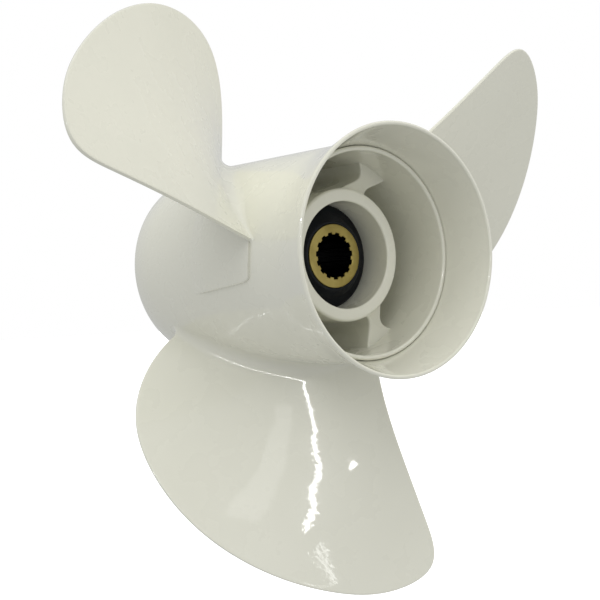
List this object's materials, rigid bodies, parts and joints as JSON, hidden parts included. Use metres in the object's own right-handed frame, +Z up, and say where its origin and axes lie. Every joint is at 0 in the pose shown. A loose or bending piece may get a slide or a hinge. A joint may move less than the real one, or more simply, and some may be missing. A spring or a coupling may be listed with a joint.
{
  "type": "boat propeller",
  "caption": "Right-hand outboard boat propeller with broad raked blades, a flared through-hub exhaust barrel, and a splined brass bush held in a rubber damper.",
  "frame": {"origin": "on the shaft axis, halfway along the splined bush", "axes": "+Y forward along the shaft, towards the boat; the exhaust leaves towards -Y; +Z up; blade directions are clockwise from +Z as seen from aft"},
  "size_m": [0.3092, 0.16, 0.2938],
  "materials": {
    "casting_paint": "gloss",
    "damper_rubber": "satin",
    "bush_brass": "satin"
  },
  "bodies": {
    "bush": {"spline_bush": "bush_brass"},
    "damper": {"rubber_damper": "damper_rubber"},
    "propeller": {"barrel": "casting_paint", "diffuser_ring": "casting_paint", "inner_hub": "casting_paint", "rib_1": "casting_paint", "rib_2": "casting_paint", "rib_3": "casting_paint", "blade_1": "casting_paint", "blade_2": "casting_paint", "blade_3": "casting_paint"}
  },
  "joints": [
    {"name": "damper_twist", "type": "hinge", "parent": "bush", "child": "damper", "pos_m": [0, 0, 0], "axis": [0, 1, 0], "range_deg": [-10, 10], "stiffness_Nm_per_rad": 270, "deforming": ["rubber_damper"]},
    {"name": "hub_slip", "type": "hinge", "parent": "damper", "child": "propeller", "pos_m": [0, 0, 0], "axis": [0, 1, 0], "continuous": true}
  ]
}
